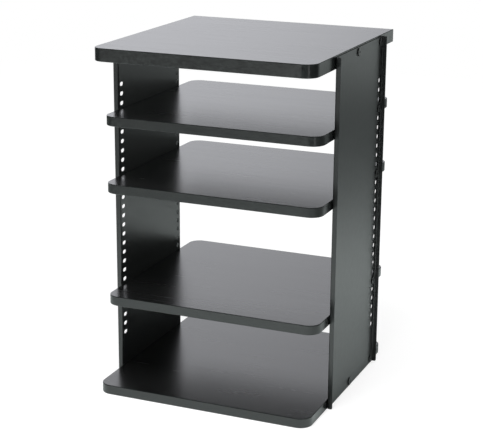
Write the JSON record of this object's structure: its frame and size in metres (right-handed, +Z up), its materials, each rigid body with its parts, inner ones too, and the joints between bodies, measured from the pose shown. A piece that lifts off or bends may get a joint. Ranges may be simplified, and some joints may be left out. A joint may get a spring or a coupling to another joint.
{
  "type": "audio equipment rack",
  "caption": "Open audio equipment rack: thick top, base and height-adjustable shelves screwed between perforated sheet-steel side panels with outward flanges.",
  "frame": {"origin": "on the floor, below the middle of the rack's overall width and depth", "axes": "+Z up, front facing -Y, +X to the right as seen from the front"},
  "size_m": [0.4648, 0.4594, 0.6915],
  "materials": {
    "panel_paint": "satin black powder coat",
    "board_laminate": "black melamine on particle board, satin, fine linear grain",
    "edge_band": "black edge band, semi-gloss",
    "screw_black": "black oxide",
    "insert_metal": "plain turned"
  },
  "bodies": {
    "frame": {"left_side_panel": "panel_paint", "right_side_panel": "panel_paint", "top_board": "board_laminate", "top_edge_band": "edge_band", "top_rear_edge_band": "edge_band", "base_board": "board_laminate", "base_edge_band": "edge_band", "top_screws_left": "screw_black", "top_screws_right": "screw_black", "top_inserts_left": "insert_metal", "top_inserts_right": "insert_metal", "base_screws_left": "screw_black", "base_screws_right": "screw_black", "base_inserts_left": "insert_metal", "base_inserts_right": "insert_metal"},
    "upper_shelf": {"upper_shelf_board": "board_laminate", "upper_shelf_edge_band": "edge_band", "upper_shelf_screws_left": "screw_black", "upper_shelf_screws_right": "screw_black", "upper_shelf_inserts_left": "insert_metal", "upper_shelf_inserts_right": "insert_metal"},
    "middle_shelf": {"middle_shelf_board": "board_laminate", "middle_shelf_edge_band": "edge_band", "middle_shelf_screws_left": "screw_black", "middle_shelf_screws_right": "screw_black", "middle_shelf_inserts_left": "insert_metal", "middle_shelf_inserts_right": "insert_metal"},
    "lower_shelf": {"lower_shelf_board": "board_laminate", "lower_shelf_edge_band": "edge_band", "lower_shelf_screws_left": "screw_black", "lower_shelf_screws_right": "screw_black", "lower_shelf_inserts_left": "insert_metal", "lower_shelf_inserts_right": "insert_metal"}
  },
  "joints": [
    {"name": "upper_shelf_height", "type": "slide", "parent": "frame", "child": "upper_shelf", "axis": [0, 0, 1], "range_m": [-0.05715, 0.05715]},
    {"name": "middle_shelf_height", "type": "slide", "parent": "frame", "child": "middle_shelf", "axis": [0, 0, 1], "range_m": [-0.0762, 0.0381]},
    {"name": "lower_shelf_height", "type": "slide", "parent": "frame", "child": "lower_shelf", "axis": [0, 0, 1], "range_m": [-0.09525, 0.01905]}
  ]
}
